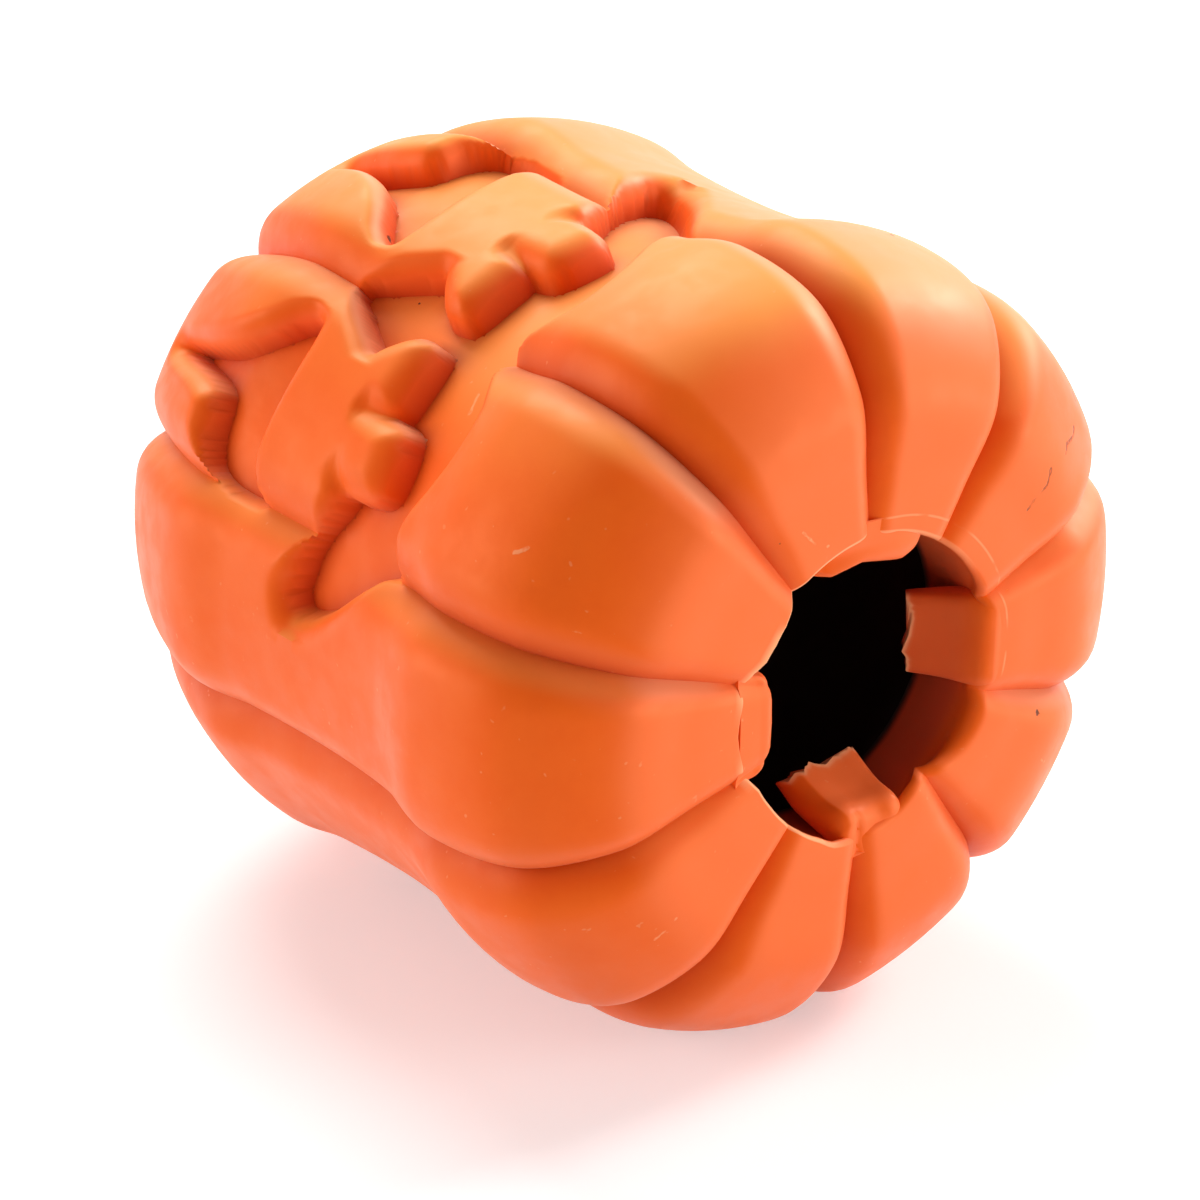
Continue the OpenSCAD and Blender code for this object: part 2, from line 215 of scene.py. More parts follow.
class BodySizes(bpy.types.PropertyGroup):
    """Sizes of the ribbed body, in millimetres"""

    mouth_r: size_setting("Mouth radius", "Radius of the mouth's bore", 18.4, 1)
    bulge_r: size_setting("Bulge radius", "Radius over the ribs at both bulges", 45.1, 1)
    waist_r: size_setting("Waist radius", "Radius over the ribs at the waist", 42.9, 1)
    body_len: size_setting("Length", "Distance from the rim to the stem end", 92, 1)
    rim_swell: size_setting("Rim swell", "How far the ribs swell in front of the rim", 2.2)
    front_bulge_y: size_setting("Front bulge", "Distance of the front bulge behind the rim", 16.6)
    waist_y: size_setting("Waist", "Distance of the waist behind the rim", 35)
    rear_bulge_y: size_setting("Rear bulge", "Distance of the rear bulge behind the rim", 64.4)
    stem_dip: size_setting("Stem dip", "Depth of the dip at the stem end", 3.5)
    dip_flat_r: size_setting("Dip flat radius", "Radius of the flat in the dip", 6, 1)
    rib_count: bpy.props.IntProperty(
        name="Ribs", description="Number of ribs round the body", default=10, min=3)
    groove_depth: size_setting("Groove depth", "Depth of a groove between two ribs", 3.2)
    shoulder_angle: size_setting(
        "Shoulder angle", "Angle of a rib's rounded shoulder, in degrees", 8, 1)
    shoulder_power: size_setting("Shoulder roundness", "How round a rib's shoulder is", 2.2, 1)
    lip_from: size_setting(
        "Lip width", "How far outside the bore the rim starts to turn in", 2.0, 0.1)
    wall: size_setting("Wall", "Thickness of the side wall under a bulge", 11.6, 1)
    end_wall: size_setting("End wall", "Thickness of the wall at the stem end", 9, 1)
    neck_len: size_setting("Neck length", "Length of the mouth's bore", 9.5, 1)
    front_round: size_setting(
        "Hollow front rounding", "Rounding of the hollow behind the mouth", 14)
    rear_round: size_setting("Hollow rear rounding", "Rounding of the hollow at the stem end", 18)


class FaceSizes(bpy.types.PropertyGroup):
    """Sizes of the carved face, in millimetres"""

    depth: size_setting("Depth", "Depth of the recesses below the ribs", 4.6)
    width: size_setting("Width", "Width of the mouth from corner to corner", 61.8, 1)
    lip_y: size_setting("Lower lip", "Distance of the lower lip behind the rim", 24.7)
    height: size_setting("Height", "From the lower lip to the tips of the eyes", 53.5, 1)
    floor_r: size_setting("Floor radius", "Radius on which the outlines are laid out", 41, 1)
    edge_round: size_setting("Edge rounding", "Rounding along the top of a recess's wall", 2.5, 0.1)
    tooth_round: size_setting("Tooth rounding", "Rounding along the top of a tooth", 3.9, 0.1)


class TabSizes(bpy.types.PropertyGroup):
    """Sizes of the retaining tabs, in millimetres"""

    bend_y: size_setting("Bend depth", "Distance of the bend line behind the rim", 1.2)
    proud: size_setting("Witness step", "How far a tab's root stands in front of the ribs", 0.06)
    corner: size_setting("Corner", "How round a tab's section is, from 0, square, to 1", 0.3)
    ragged: size_setting("Torn edge", "Raggedness of a tab's torn tip", 0.22)


class RubberLook(bpy.types.PropertyGroup):
    """Colours and finish of the rubber"""

    orange: colour_setting("Rubber", "Colour of the rubber", (0.93, 0.128, 0.009))
    deep: colour_setting("Deep", "Colour of the rubber's deeper mottles", (0.90, 0.112, 0.007))
    # Painted sheen, with some dust: the front and underside painted paler, as the lamps' sheen
    # shows there
    dust_and_sheen: colour_setting("Dust", "Colour of the dusty front and underside", (0.95, 0.160, 0.036))
    # Painted light: the upper side painted paler, as where the overhead lamp falls
    painted_top_light: colour_setting(
        "Bloom", "Colour where pale bloom lies on the upper side", (1.0, 0.34, 0.07))
    # Painted highlight: a pale pink sheen painted on the upper right side
    painted_highlight: colour_setting("Haze", "Colour of the haze on the upper right side", (1.0, 0.46, 0.27))
    highlight_share: share_setting("Haze share", "How much of the haze shows", 0.6)
    # Painted shade, with some dirt: the tint that darkens the grooves and the foot of the recesses'
    # walls
    shade: colour_setting("Creases", "Tint that darkens the creases", (0.62, 0.42, 0.36))
    # Colours of the painted shade in the neck and deep inside the hollow
    neck: colour_setting("Neck", "Colour of the soiled rubber in the neck", (0.56, 0.066, 0.026))
    dark: colour_setting("Inside", "Colour of the soiled rubber deep inside", (0.012, 0.002, 0.002))
    soil: colour_setting("Soil", "Colour of dirt in specks and cuts", (0.10, 0.020, 0.010))
    # Colour of pale marks and torn tips, and of the painted highlight along the rim's sharp edge
    pale_marks_and_edge_highlight: colour_setting("Thin edges", "Colour of flash and torn edges", (1.0, 0.46, 0.22))
    gloss_tint: colour_setting(
        "Gloss tint", "Tint of the sheen where it faces the viewer", (1.0, 0.40, 0.17))
    crease_shade_and_dirt: share_setting("Crease dirt", "How dark the creases are", 0.9)
    sheen: share_setting("Sheen", "Strength of the dusty sheen at the sides", 0.07)
    roughness: share_setting("Roughness", "Roughness of the moulded skin", 0.44)


class StageLook(bpy.types.PropertyGroup):
    """Floor, light and camera"""

    floor_colour: colour_setting("Floor", "Colour of the floor", (0.86, 0.86, 0.86))
    key_power: power_setting("Key light", "Power of the soft lamp overhead", 7.4)
    right_power: power_setting("Right light", "Power of the soft lamp at the right", 5.8)
    left_power: power_setting("Left light", "Power of the soft lamp at the left", 5.0)
    front_power: power_setting("Front light", "Power of the soft lamp in front", 6.0)
    sky_level: size_setting("Sky level", "Strength of the even light all round", 0.32)
    focal_px: size_setting("Focal length", "Focal length in pixels of a frame 1200 wide", 3214.12)
    yaw: angle_setting("Yaw", "Turn of the view from +Y to +X", 37.894)
    pitch: angle_setting("Pitch", "Tilt of the view downwards", 25.098)
    roll: angle_setting("Roll", "Roll of the view", 0.290)
    rim_offset: bpy.props.FloatVectorProperty(
        name="Rim in view", description="Rim's centre in the camera's axes, in rim radii", size=3,
        default=(1.44811808, -0.47760548, 18.27646085))


def rim_y():
    """The rim's plane along the frame's Y, in millimetres"""
    return BENDS["tab_right"][1] / MM - bpy.context.scene.toy_tabs.bend_y


def spline(points, place):
    """Points of a smooth curve through a list of points, at places counted in points"""
    points = np.asarray(points, float)
    place = np.asarray(place, float)
    index = np.minimum(np.floor(place).astype(int), len(points) - 1)
    t = place - index
    if points.ndim == 2:
        t = t[:, None]
    p0, p1, p2, p3 = (points[np.clip(index + k, 0, len(points) - 1)] for k in (-1, 0, 1, 2))
    return 0.5 * (2 * p1 + (p2 - p0) * t + (2 * p0 - 5 * p1 + 4 * p2 - p3) * t ** 2
                  + (3 * p1 - p0 - 3 * p2 + p3) * t ** 3)


def closed_spline(points, steps):
    """A closed outline made smooth, with a number of steps between its points"""
    around = list(points[-2:]) + list(points) + list(points[:3])
    return spline(around, 2 + np.arange(len(points) * steps) / steps)


def mix(a, b, share):
    """The value at a share of the way from a to b"""
    return a + (b - a) * share


def smooth_step(low, high, value):
    """0 below low, 1 above high, and a smooth rise between them"""
    t = np.clip((value - low) / (high - low), 0, 1)
    return t * t * (3 - 2 * t)


def rib_crest(size):
    """Side view of a rib's crest: distance behind the rim and radius, in millimetres"""
    across = size.bulge_r
    mouth = size.mouth_r
    end_r = across * END_SHARE[-1][1]
    points = [(a * size.rim_swell, mix(mouth, across, b)) for a, b in RIM_SHARE]
    points += [(a * size.front_bulge_y, mix(mouth, across, b)) for a, b in FRONT_SHARE]
    points += [(mix(size.front_bulge_y, size.waist_y, a), mix(across, size.waist_r, b))
               for a, b in WAIST_SHARE]
    points += [(mix(size.waist_y, size.rear_bulge_y, a), mix(size.waist_r, across, b))
               for a, b in REAR_SHARE]
    points += [(mix(size.rear_bulge_y, size.body_len, a), across * b) for a, b in END_SHARE]
    points += [(size.body_len - size.stem_dip * a, mix(end_r, size.dip_flat_r, b))
               for a, b in DIP_SHARE]
    return points


def rows_by_length(line, spacing):
    """Indices along a finely drawn line, so that its rows lie the given spacing apart"""
    length = np.hypot(*np.diff(line, axis=0).T)
    rows = np.concatenate([[0], np.cumsum(length / spacing[1:])])
    count = int(math.ceil(rows[-1]))
    return np.interp(np.linspace(0, rows[-1], count + 1), rows, np.arange(len(line)))


def arc(centre, radius, start, end, steps):
    """Points of an arc in the side view, angles in degrees"""
    angle = np.radians(np.linspace(start, end, steps + 1))
    return [(centre[0] + radius * math.sin(a), centre[1] + radius * math.cos(a)) for a in angle]


# Distances between rows: on the face and rim, elsewhere outside, and behind the face
FINE = 0.54
MEDIUM = 0.85
COARSE = 1.3
CREST_STEPS = 6000
OUTLINE_STEPS = 4
# The field of the face: behind the rim, and degrees to each side of its middle
FACE_FROM_Y = 20
FACE_TO_Y = 81
FACE_HALF_ANGLE = 52
FACE_STEP_ANGLE = 0.5
# The radius outside which the ribs' front isn't drawn in to the mouth's edge, in mouth radii
RIM_FIXED = 1.36
WALL_STEPS = 14  # along the bore's wall
TOOTH_BLEND = 4  # power of the mean that joins the teeth, higher for a sharper join
CREASE_REACH = 1.1  # how far a crease's painted shade and dirt reach from the foot of a wall


def face_field(line, size):
    """Which points of the side view lie in the field of the face, and not in the dip behind it"""
    y, radius = line.T
    return (y > FACE_FROM_Y) & (y < FACE_TO_Y) & (radius > size.dip_flat_r * 5)


def outside_rows(size):
    """Rows of the outside from the rim to the dip: place, inward normal and groove depth"""
    crest = rib_crest(size)
    place = np.linspace(0, len(crest) - 1, CREST_STEPS)
    line = spline(crest, place)
    start = np.argmax(line[:, 1] > size.mouth_r + size.lip_from)
    place, line = place[start:], line[start:]
    on_face = face_field(line, size)
    near_rim = line[:, 1] < size.mouth_r * 1.3
    near_rim &= line[:, 0] < size.neck_len
    spacing = np.where(on_face | near_rim, FINE, MEDIUM)
    spacing = np.where(line[:, 0] > FACE_TO_Y, COARSE, spacing)
    rows = rows_by_length(line, spacing)
    place = np.interp(rows, np.arange(len(place)), place)
    line = spline(crest, place)
    step = 0.05
    way = (spline(crest, np.minimum(place + step, len(crest) - 1))
           - spline(crest, np.maximum(place - step, 0)))
    way /= np.linalg.norm(way, axis=1)[:, None]
    inward = np.stack([way[:, 1], -way[:, 0]], 1)
    depth = size.groove_depth * np.maximum(0, spline(DEPTH_SHARE, place))
    return line, inward, depth


def inside_line(size):
    """Side view of the inside, from the dip through the hollow to the start of the neck"""
    hole_edge = 0.7
    dip_y = size.body_len - size.stem_dip
    end_y = size.body_len - size.end_wall
    hollow_r = size.bulge_r - size.wall
    line = [(dip_y, mix(size.dip_flat_r, AIR_HOLE_R + hole_edge, t)) for t in (0.4, 0.8, 1)]
    line += arc((dip_y - hole_edge, AIR_HOLE_R + hole_edge), hole_edge, 90, 180, 3)[1:]
    line += [(mix(dip_y - hole_edge, end_y, t), AIR_HOLE_R) for t in (0.33, 0.66, 1)]
    line += [(end_y, mix(AIR_HOLE_R, hollow_r - size.rear_round, t)) for t in (0.1, 0.4, 0.7)]
    line += arc((end_y - size.rear_round, hollow_r - size.rear_round), size.rear_round, 90, 0, 12)
    front_y = size.neck_len + size.front_round
    line += [(mix(end_y - size.rear_round, front_y, t / 12), hollow_r) for t in range(1, 12)]
    line += arc((front_y, hollow_r - size.front_round), size.front_round, 0, -90, 10)
    line += [(size.neck_len - 0.1, size.mouth_r + 0.6), (size.neck_len - 0.6, size.mouth_r)]
    return line


def rim_edge(angles):
    """Radius of the mouth's edge and its rounding at each angle"""
    table = np.array(RIM_EDGE + [(360 + RIM_EDGE[0][0], *RIM_EDGE[0][1:])])
    around = np.asarray(angles) % 360
    return [np.interp(around, table[:, 0], table[:, k]) for k in (1, 2)]


def lip_rows(first_y, angles, size):
    """Rows of the bore's wall and the rounded lip at each angle, from the hollow to the front"""
    edge, rounding = rim_edge(angles)
    wall_end = size.neck_len - 0.6
    rows = []
    for t in np.linspace(0, 1, WALL_STEPS)[1:]:
        y = mix(wall_end, first_y + rounding, t ** 0.8)
        back = smooth_step(0, 1.6, y - first_y - rounding)
        rows.append((y, mix(edge, size.mouth_r, back)))
    for a in np.linspace(0, math.pi / 2, 8)[1:-1]:
        rows.append((first_y + rounding * (1 - math.sin(a)), edge + rounding * (1 - math.cos(a))))
    return np.array([row[0] for row in rows]), np.array([row[1] for row in rows])


def column_angles(size):
    """Angles of the lengthwise lines in degrees, close together on the face and in the grooves"""
    pitch = 360 / size.rib_count
    close = [0, 0.7, 1.4, 2.2, 3.1, 4.1, 5.2, 6.5, 8, 10]
    rib = close + list(np.linspace(12.5, pitch - 12.5, 5))
    rib += [pitch - a for a in reversed(close[1:])]
    face_from = FACE_ANGLE - FACE_HALF_ANGLE
    face_to = FACE_ANGLE + FACE_HALF_ANGLE
    angles = [TOP_GROOVE + pitch * k + a for k in range(size.rib_count) for a in rib]
    angles = [a % 360 for a in angles]
    angles = [a for a in angles if not face_from < a < face_to]
    angles += list(np.arange(face_from, face_to + 0.01, FACE_STEP_ANGLE))
    return np.unique(np.round(angles, 4))


def rise(angles, size):
    """Height of a rib over its groove, from 0 to 1"""
    pitch = 360 / size.rib_count
    off = np.abs((np.asarray(angles) - TOP_GROOVE + pitch / 2) % pitch - pitch / 2)
    return 1 - (1 - np.minimum(1, off / size.shoulder_angle)) ** size.shoulder_power


def face_outline(shares, side, face):
    """An outline of the face in millimetres, across and behind the rim"""
    return [(side * a * face.width / 2, face.lip_y + b * face.height) for a, b in shares]


def face_outlines(face):
    """The recesses and the teeth as smooth closed outlines"""
    half = face_outline(MOUTH_SHARE, 1, face)
    other = face_outline(MOUTH_SHARE, -1, face)
    recesses = [closed_spline(half + other[-2:0:-1], OUTLINE_STEPS)]
    teeth = []
    for side in (-1, 1):
        eye, *pair = (closed_spline(face_outline(shares, side, face), OUTLINE_STEPS)
                      for shares in (EYE_SHARE, INNER_TOOTH_SHARE, OUTER_TOOTH_SHARE))
        recesses.append(eye)
        teeth += pair
    return recesses, teeth


def outline_distance(points, outline):
    """Distance of points from an outline, below zero inside it, and their nearest points on it"""
    best = np.full(len(points), np.inf)
    nearest = np.zeros_like(points)
    inside = np.zeros(len(points), bool)
    for a, b in zip(outline, np.roll(outline, -1, axis=0)):
        edge = b - a
        along = np.clip((points - a) @ edge / (edge @ edge), 0, 1)
        foot = a + along[:, None] * edge
        distance = np.hypot(*(points - foot).T)
        closer = distance < best
        best[closer] = distance[closer]
        nearest[closer] = foot[closer]
        crosses = (a[1] > points[:, 1]) != (b[1] > points[:, 1])
        with np.errstate(divide="ignore", invalid="ignore"):
            left = points[:, 0] < edge[0] * (points[:, 1] - a[1]) / edge[1] + a[0]
        inside ^= crosses & left
    return np.where(inside, -best, best), nearest


def pillow(distance, width):
    """Height of a rounded edge, from 0 at its foot to 1 a width away"""
    away = 1 - np.clip(distance / width, 0, 1)
    return np.sqrt(1 - away * away)


def carve(points, face):
    """Depth below the ribs, from 0 to 1, at points of the face laid out flat"""
    recesses, teeth = face_outlines(face)
    height = np.ones(len(points))
    for outline in recesses:
        distance, _ = outline_distance(points, outline)
        height = np.minimum(height, pillow(distance, face.edge_round))
    for outline in teeth:
        distance, _ = outline_distance(points, outline)
        tooth = pillow(-distance, face.tooth_round)
        height = (height ** TOOTH_BLEND + tooth ** TOOTH_BLEND) ** (1 / TOOTH_BLEND)
    return 1 - np.minimum(height, 1)


def creases(points, face):
    """How near points of the face lie to the foot of a wall on the recess's floor, from 0 to 1,
    where the painted shade and dirt of the crease go
    """
    recesses, teeth = face_outlines(face)
    near = np.zeros(len(points))
    height = carve(points, face)
    for outline in recesses + teeth:
        distance, _ = outline_distance(points, outline)
        near = np.maximum(near, np.exp(-np.abs(distance) / CREASE_REACH))
    return near * smooth_step(0.45, 0.95, height)


def settle_on_outlines(points, face, reach):
    """Moves the points that are nearest to a wall's foot onto it, so that the crease is crisp"""
    recesses, teeth = face_outlines(face)
    moved = points.copy()
    gap = np.full(len(points), reach)
    for outline in recesses + teeth:
        distance, nearest = outline_distance(points, outline)
        close = np.abs(distance) < gap
        on_floor = carve(nearest[close], face) > 0.9
        chosen = np.flatnonzero(close)[on_floor]
        moved[chosen] = nearest[chosen]
        gap[chosen] = np.abs(distance[chosen])
    return moved


def grid_object(name, rows, columns):
    """A flat grid with this many rows and columns of points, ready to be shaped"""
    bpy.ops.object.select_all(action="DESELECT")
    bpy.ops.mesh.primitive_grid_add(
        x_subdivisions=columns - 1, y_subdivisions=rows - 1, size=1, location=(0, 0, 0))
    piece = bpy.context.object
    piece.name = piece.data.name = name
    return piece


def shape_grid(piece, places):
    """Moves the points of a grid to their places, given row by row in metres"""
    flat = np.ascontiguousarray(places.reshape(-1, 3), dtype=np.float32)
    piece.data.vertices.foreach_set("co", flat.ravel())
    piece.data.update()


def wrapped(grid, both=False):
    """A grid with its first column again at its end, and its first row too if both are closed"""
    if both:
        grid = np.concatenate([grid, grid[:1]], 0)
    return np.concatenate([grid, grid[:, :1]], 1)


def keep_amount(piece, name, amount):
    """Keeps an amount between 0 and 1 at each point of a shaped grid, for the rubber's colour"""
    kept = piece.data.attributes.new(name, "FLOAT", "POINT")
    kept.data.foreach_set("value", np.ascontiguousarray(amount.ravel(), dtype=np.float32))


def finish_surface(piece, crease):
    """Joins a shaped grid's seams, turns its faces outwards, smooths it and gives it its rubber"""
    bpy.ops.object.select_all(action="DESELECT")
    piece.select_set(True)
    bpy.context.view_layer.objects.active = piece
    bpy.ops.object.mode_set(mode="EDIT")
    bpy.ops.mesh.select_all(action="SELECT")
    bpy.ops.mesh.remove_doubles(threshold=MERGE)
    bpy.ops.mesh.normals_make_consistent(inside=False)
    bpy.ops.object.mode_set(mode="OBJECT")
    bpy.ops.object.shade_smooth_by_angle(angle=math.radians(crease))
    piece.data.materials.append(rubber_material())


def to_frame(radius, behind, angle):
    """Places in the frame, in metres, from radius, distance behind the rim and angle in degrees"""
    turn = np.radians(angle)
    return np.stack([radius * np.cos(turn), rim_y() + behind,
                     AXIS_Z + radius * np.sin(turn)], -1) * MM


class TOY_OT_shell(bpy.types.Operator):
    """Moulds the ribbed body with its face, rim and hollow"""

    bl_idname = "toy.shell"
    bl_label = "Mould the shell"

    def execute(self, context):
        size = context.scene.toy_body
        face = context.scene.toy_face
        line, inward, depth = outside_rows(size)
        inner = np.array(inside_line(size))
        angles = column_angles(size)
        outer_count = len(line)
        lip_from = outer_count + len(inner)
        rim_sink = depth[0] * (1 - rise(angles, size))
        lip_y, lip_radius = lip_rows(line[0, 0] + rim_sink, angles, size)
        rows = lip_from + len(lip_y)

        radius = np.zeros((rows, len(angles)))
        behind = np.zeros((rows, len(angles)))
        turn = np.tile(angles, (rows, 1)).astype(float)
        radius[outer_count:lip_from] = inner[:, 1:]
        behind[outer_count:lip_from] = inner[:, :1]
        radius[lip_from:] = lip_radius
        behind[lip_from:] = lip_y

        sink = depth[:, None] * (1 - rise(angles, size))[None, :]
        face_rows = np.flatnonzero(face_field(line, size))
        face_columns = np.flatnonzero(np.abs(angles - FACE_ANGLE) < FACE_HALF_ANGLE - 0.1)
        r, c = np.meshgrid(face_rows, face_columns, indexing="ij")
        off = np.radians(angles[c] - FACE_ANGLE)
        flat = np.stack([face.floor_r * np.sin(off), line[r, 0]], -1).reshape(-1, 2)
        settled = settle_on_outlines(flat, face, FINE * 0.48)
        cut = carve(settled, face).reshape(r.shape) * face.depth
        across = settled[:, 0].reshape(r.shape)
        turn[r, c] = FACE_ANGLE + np.degrees(np.arcsin(across / face.floor_r))
        shift_y = settled[:, 1].reshape(r.shape) - line[r, 0]

        sink[r, c] = np.maximum(sink[r, c], cut)
        behind[:outer_count] = line[:, :1] + inward[:, :1] * sink
        radius[:outer_count] = line[:, 1:] + inward[:, 1:] * sink
        behind[r, c] += shift_y

        # The front of the ribs reaches in to the mouth's edge
        edge, rounding = rim_edge(angles)
        fixed_r = size.mouth_r * RIM_FIXED
        reach = (fixed_r - edge - rounding) / (fixed_r - line[0, 1])
        near = (radius[:outer_count] < fixed_r) & (line[:, 0] < size.neck_len)[:, None]
        drawn_in = fixed_r - (fixed_r - radius[:outer_count]) * reach
        radius[:outer_count] = np.where(near, drawn_in, radius[:outer_count])

        # Painted highlight where the lip is thin and sharp, with a painted highlight line along the
        # front of the rim at the left
        edge_highlight = np.tile(1 - smooth_step(0.45, 0.8, rounding), (rows, 1))
        edge_highlight[:lip_from + WALL_STEPS] = 0
        edge_highlight *= 1 - np.exp(-((angles - 180) / 12) ** 4)
        edge_highlight[0] = 0.9 * edge_highlight[-1] * smooth_step(0, 8, 35 - np.abs(angles - 170))
        # Painted shade in the hollow and down the neck, less where the neck lies in the light
        soiled = np.zeros((rows, len(angles)))
        soiled[outer_count:lip_from] = smooth_step(0, 8, np.arange(len(inner)))[:, None]
        in_light = 0.75 * np.exp(-((angles - 50) / 26) ** 2)
        soiled[lip_from:] = 0.5 * smooth_step(0.7, 6, lip_y - line[0, 0]) * (1 - in_light)
        # Painted shade and dirt along the grooves, which fade out on the face's recesses, and round
        # the recesses
        low = (1 - rise(angles, size))[None, :]
        crease = np.zeros((rows, len(angles)))
        crease[:outer_count] = low ** 1.3 * depth[:, None] / size.groove_depth
        faint = mix(1, 0.5, smooth_step(30, 40, line[r, 0]))
        grooves = crease[r, c] * (1 - smooth_step(0, 1.6, cut)) * faint
        crease[r, c] = np.maximum(grooves, creases(settled, face).reshape(r.shape))

        places = wrapped(to_frame(radius, behind, turn), both=True)
        piece = grid_object("shell_skin", places.shape[0], places.shape[1])
        shape_grid(piece, places)
        for name, amount in (("fringe", edge_highlight), ("crease", crease), ("soiled", soiled)):
            keep_amount(piece, name, wrapped(amount, both=True))
        finish_surface(piece, SHELL_CREASE)
        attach(piece, "shell")
        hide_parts("shell")
        return {"FINISHED"}


def rim_front(radius, angles, size):
    """Distance behind the rim of the ribs' front near the mouth, at a radius and angles"""
    crest = rib_crest(size)
    place = np.linspace(0, 3, 200)
    line = spline(crest, place)
    depth = size.groove_depth * np.maximum(0, spline(DEPTH_SHARE, place))
    along = np.interp(radius, line[:, 1], np.arange(len(line)))
    y = np.interp(along, np.arange(len(line)), line[:, 0])
    sink = np.interp(along, np.arange(len(line)), depth) * (1 - rise(angles, size))
    return y, sink


TAB_ROWS = 56
TAB_COLUMNS = 96
RAGGED_COARSE = 0.6  # height of the torn edge's wider waves, against its finer ones


def tab_places(shape, size, tabs, seed):
    """Points of a tab's skin in radius, distance behind the rim and distance to the side, and how
    torn it is and how dark its painted shade is there"""
    place = np.linspace(0, len(shape["front"]) - 1, TAB_ROWS + 1)
    front = spline([(r, rim_front(r, TOP_GROOVE + 18, size)[0] if y is None else y)
                    for r, y in shape["front"]], place)
    back = spline(shape["back"], place)
    along = np.linspace(0, 1, TAB_ROWS + 1)
    half = np.interp(along, (0, 0.5, 1), shape["widths"])[:, None] / 2
    around = np.radians(np.arange(0, 360, 360 / TAB_COLUMNS))
    corner = tabs.corner * shape["soft"]
    wide = np.sign(np.cos(around)) * np.abs(np.cos(around)) ** corner
    thick = np.sign(np.sin(around)) * np.abs(np.sin(around)) ** (corner * 2)
    deep = (1 - thick[None, :]) / 2
    shift = np.interp(along, (0, 0.5, 1), shape["side"])[:, None]
    side = half * wide[None, :]
    radius = front[:, :1] * (1 - deep) + back[:, :1] * deep
    behind = front[:, 1:] * (1 - deep) + back[:, 1:] * deep
    on_front = 1 - smooth_step(-0.9, 0.6, front[:, 1:])
    angle = TOP_GROOVE + np.degrees(np.arctan2(side + shift, radius)) + shape["angle"] - 90
    sink = rim_front(radius, angle, size)[1]
    behind = behind + sink * on_front * (1 - deep) - tabs.proud * (1 - deep)

    # The torn tip, ragged at its end
    offset = np.interp(wide, *np.array(shape["torn"]).T)
    radius = radius + offset[None, :] * smooth_step(0.25, 0.62, along)[:, None]
    rng = np.random.default_rng(seed)
    ragged = np.interp(wide, np.linspace(-1, 1, 26), rng.normal(0, 1, 26))
    ragged += RAGGED_COARSE * np.interp(wide, np.linspace(-1, 1, 9), rng.normal(0, 1, 9))
    torn = (ragged * tabs.ragged)[None, :] * smooth_step(0.86, 1, along)[:, None]
    behind = behind + torn
    radius = radius - torn * 0.6
    for at, at_r, width, height, depth in shape["dents"]:
        dent = np.exp(-((side - at) / width) ** 2 - ((radius - at_r) / height) ** 2)
        behind = behind + depth * dent * (1 - deep) * on_front
    tip = smooth_step(0.955, 1, along)[:, None] * (1 - smooth_step(0.2, 0.5, deep))
    front_shade, back_shade = shape["soiled"]
    at_back = smooth_step(0.62, 0.95, deep) * smooth_step(0.1, 0.3, along)[:, None]
    soiled = np.maximum(front_shade * smooth_step(0.42, 0.72, along)[:, None], back_shade * at_back)
    return radius, behind, side + shift, (tip, soiled)


class TOY_OT_tabs(bpy.types.Operator):
    """Moulds the four tabs that reach into the mouth"""

    bl_idname = "toy.tabs"
    bl_label = "Mould the tabs"

    def execute(self, context):
        size = context.scene.toy_body
        tabs = context.scene.toy_tabs
        for node, shape in TABS.items():
            radius, behind, side, amounts = tab_places(shape, size, tabs, shape["angle"] + 7)
            turn = math.radians(shape["angle"])
            x = radius * math.cos(turn) - side * math.sin(turn)
            z = AXIS_Z + radius * math.sin(turn) + side * math.cos(turn)
            places = np.stack([x, rim_y() + behind, z], -1) * MM
            ends = [np.repeat(places[k].mean(0)[None, :], TAB_COLUMNS, 0)[None] for k in (0, -1)]
            places = wrapped(np.concatenate([ends[0], places, ends[1]], 0))
            piece = grid_object(node + "_skin", places.shape[0], places.shape[1])
            shape_grid(piece, places)
            for name, amount in zip(("fringe", "soiled"), amounts):
                amount = np.concatenate([amount[:1], amount, amount[-1:]], 0)
                keep_amount(piece, name, wrapped(amount))
            finish_surface(piece, TAB_CREASE)
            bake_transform(piece)
            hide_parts(node)
        return {"FINISHED"}


def feed(tree, socket, value):
    """Links a socket to an input, or sets the input to a plain value"""
    if isinstance(value, bpy.types.NodeSocket):
        tree.links.new(value, socket)
    elif value is not None:
        socket.default_value = value


def new_node(tree, kind, inputs=(), **settings):
    """A node with its settings, its inputs fed by number or name"""
    node = tree.nodes.new("ShaderNode" + kind)
    for name, value in settings.items():
        setattr(node, name, value)
    for key, value in dict(inputs).items():
        feed(tree, node.inputs[key], value)
    return node


def maths(tree, operation, value, *others, clamp=False):
    """A chain of maths nodes fed by sockets or numbers"""
    for other in others or (None,):
        node = new_node(tree, "Math", {0: value, 1: other}, operation=operation, use_clamp=clamp)
        value = node.outputs[0]
    return value


def times(tree, *values):
    """The product of sockets and numbers"""
    return maths(tree, "MULTIPLY", *values)


def vector_maths(tree, operation, a, b=None):
    """A vector maths node fed by sockets or vectors; a length or a product comes out as a number"""
    node = new_node(tree, "VectorMath", {0: a, 1: b}, operation=operation)
    return node.outputs["Value" if operation in ("LENGTH", "DOT_PRODUCT", "DISTANCE") else "Vector"]


def ramp(tree, value, low, high, out_low=0.0, out_high=1.0):
    """A smooth ramp of a value from one range to another"""
    values = {"Value": value, "From Min": low, "From Max": high,
              "To Min": out_low, "To Max": out_high}
    return new_node(tree, "MapRange", values, interpolation_type="SMOOTHSTEP").outputs["Result"]


